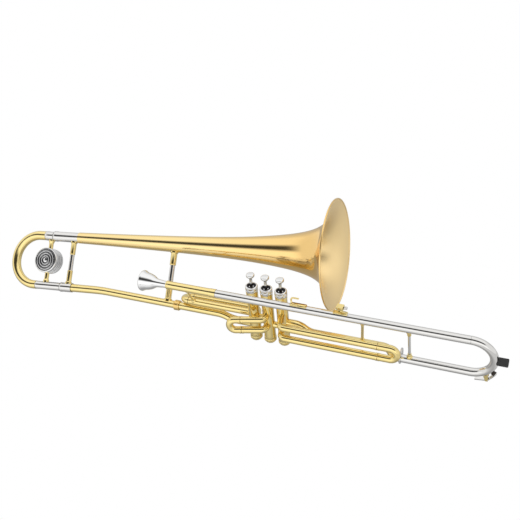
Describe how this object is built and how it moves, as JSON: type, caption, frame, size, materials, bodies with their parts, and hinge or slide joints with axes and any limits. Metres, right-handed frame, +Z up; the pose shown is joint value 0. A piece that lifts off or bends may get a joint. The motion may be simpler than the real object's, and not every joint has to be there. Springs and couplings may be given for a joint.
{
  "type": "valve trombone",
  "caption": "Tenor valve trombone with piston valves, a front bow on the lead pipe, a pull-out tuning slide with counterweight and a flared bell.",
  "frame": {"origin": "on the axis of the middle valve, at the middle height of its casing, where the left hand holds the valve block", "axes": "+X along the valve row towards the bell mouth and the front bow, +Y away from the player's left side towards the bell, +Z up along the pistons towards the buttons"},
  "size_m": [1.0021, 0.2478, 0.2465],
  "materials": {
    "gold_brass": "polished, lacquered, bell",
    "yellow_brass": "polished, lacquered tubing",
    "nickel": "polished nickel silver",
    "silver": "bright silver plate",
    "black_rubber": "matt black rubber",
    "felt": "dense black felt",
    "cork": "dark water-key pad",
    "spring_steel": "bare spring wire"
  },
  "bodies": {
    "horn": {"bell": "gold_brass", "bell_slide_sleeve": "nickel", "lower_slide_sleeve": "nickel", "gooseneck": "yellow_brass", "rear_brace": "yellow_brass", "bell_brace": "yellow_brass", "brace_front": "yellow_brass", "brace_middle": "yellow_brass", "brace_rear": "yellow_brass", "casing_1": "yellow_brass", "top_cap_1": "silver", "felt_1": "felt", "bottom_cap_1": "yellow_brass", "spring_1": "spring_steel", "casing_2": "yellow_brass", "top_cap_2": "silver", "felt_2": "felt", "bottom_cap_2": "yellow_brass", "spring_2": "spring_steel", "casing_3": "yellow_brass", "top_cap_3": "silver", "felt_3": "felt", "bottom_cap_3": "yellow_brass", "spring_3": "spring_steel", "crossover_3_2": "yellow_brass", "crossover_2_1": "yellow_brass", "slide_1_upper": "yellow_brass", "slide_1_lower": "yellow_brass", "slide_2_upper": "yellow_brass", "slide_2_lower": "yellow_brass", "slide_3_upper": "yellow_brass", "slide_3_lower": "yellow_brass", "exit_tube": "yellow_brass", "return_tube": "yellow_brass", "return_flange": "nickel", "lead_pipe_front": "nickel", "lead_pipe_rear": "yellow_brass", "bumper": "black_rubber", "front_bow": "nickel", "water_key_saddle": "yellow_brass", "finger_hook": "yellow_brass", "lyre_holder": "yellow_brass"},
    "piston_1": {"piston_1": "nickel", "button_1": "silver"},
    "piston_2": {"piston_2": "nickel", "button_2": "silver"},
    "piston_3": {"piston_3": "nickel", "button_3": "silver"},
    "tuning_slide": {"tuning_crook": "yellow_brass", "tuning_leg_upper": "nickel", "tuning_leg_lower": "nickel", "counterweight": "yellow_brass"},
    "slide_1": {"slide_1_bow": "yellow_brass"},
    "slide_2": {"slide_2_bow": "yellow_brass"},
    "slide_3": {"slide_3_bow": "yellow_brass"},
    "water_key": {"water_key": "nickel", "water_pad": "cork"},
    "mouthpiece": {"mouthpiece": "silver"},
    "bell_lock_nut": {"bell_lock_nut": "yellow_brass"},
    "lyre_screw": {"lyre_screw": "nickel"}
  },
  "joints": [
    {"name": "piston_1_stroke", "type": "slide", "parent": "horn", "child": "piston_1", "axis": [0, 0, -1], "range_m": [0, 0.017], "stiffness_N_per_m": 150, "springref_m": -0.03, "deforming": ["spring_1"]},
    {"name": "piston_2_stroke", "type": "slide", "parent": "horn", "child": "piston_2", "axis": [0, 0, -1], "range_m": [0, 0.017], "stiffness_N_per_m": 150, "springref_m": -0.03, "deforming": ["spring_2"]},
    {"name": "piston_3_stroke", "type": "slide", "parent": "horn", "child": "piston_3", "axis": [0, 0, -1], "range_m": [0, 0.017], "stiffness_N_per_m": 150, "springref_m": -0.03, "deforming": ["spring_3"]},
    {"name": "tuning_slide_pull", "type": "slide", "parent": "horn", "child": "tuning_slide", "axis": [-0.9963, -0.0575, -0.0631], "range_m": [0, 0.018]},
    {"name": "slide_1_pull", "type": "slide", "parent": "horn", "child": "slide_1", "axis": [-1, 0, 0], "range_m": [0, 0.014]},
    {"name": "slide_2_pull", "type": "slide", "parent": "horn", "child": "slide_2", "axis": [-0.9603, -0.279, 0], "range_m": [0, 0.016]},
    {"name": "slide_3_pull", "type": "slide", "parent": "horn", "child": "slide_3", "axis": [1, 0, 0], "range_m": [0, 0.04]},
    {"name": "water_key_lift", "type": "hinge", "parent": "horn", "child": "water_key", "pos_m": [0.389, -0.01905, -0.02802], "axis": [0, 0.9914, 0.1306], "range_deg": [0, 12], "stiffness_Nm_per_rad": 0.03, "springref_deg": -57.3},
    {"name": "mouthpiece_pull", "type": "slide", "parent": "horn", "child": "mouthpiece", "axis": [-1, 0, 0], "range_m": [0, 0.028]},
    {"name": "lock_nut_turn", "type": "hinge", "parent": "horn", "child": "bell_lock_nut", "pos_m": [-0.1885, 0.00216, -0.01819], "axis": [1, 0, 0], "continuous": true},
    {"name": "lyre_screw_turn", "type": "hinge", "parent": "horn", "child": "lyre_screw", "pos_m": [0.152, -0.0298, 0.0728], "axis": [1, 0, 0], "continuous": true}
  ]
}
